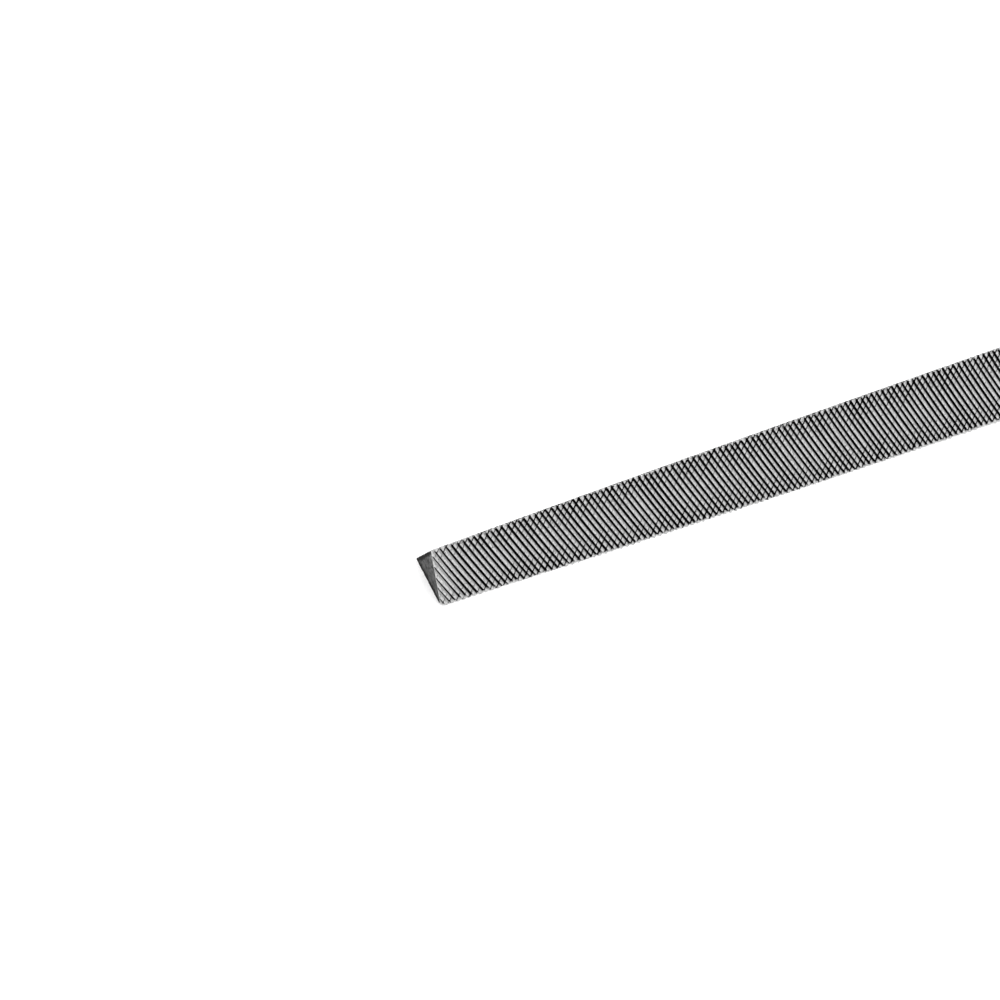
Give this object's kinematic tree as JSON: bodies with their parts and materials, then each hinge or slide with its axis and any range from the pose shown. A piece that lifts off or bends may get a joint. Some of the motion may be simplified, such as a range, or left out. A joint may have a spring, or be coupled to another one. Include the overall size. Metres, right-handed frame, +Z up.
{
  "type": "three-square file with handle",
  "caption": "Triangular taper file with double-cut faces, a square-cut tang, a steel ferrule and a turned wooden handle.",
  "frame": {"origin": "on the common axis of blade and handle, where the ferrule's open end butts on the handle's shoulder", "axes": "+X along the axis towards the point of the blade, +Z up from the face it lies on to the opposite edge, +Y to the left"},
  "size_m": [0.277, 0.027, 0.027],
  "materials": {
    "hardened_steel": "bare hardened tool steel, teeth cut and grit-blasted",
    "plated_steel": "thin bright nickel plate over drawn steel, lightly handled",
    "beech": "turned beech with a thin satin lacquer"
  },
  "bodies": {
    "root": {"file_blade": "hardened_steel", "ferrule": "plated_steel", "handle": "beech"}
  },
  "joints": []
}
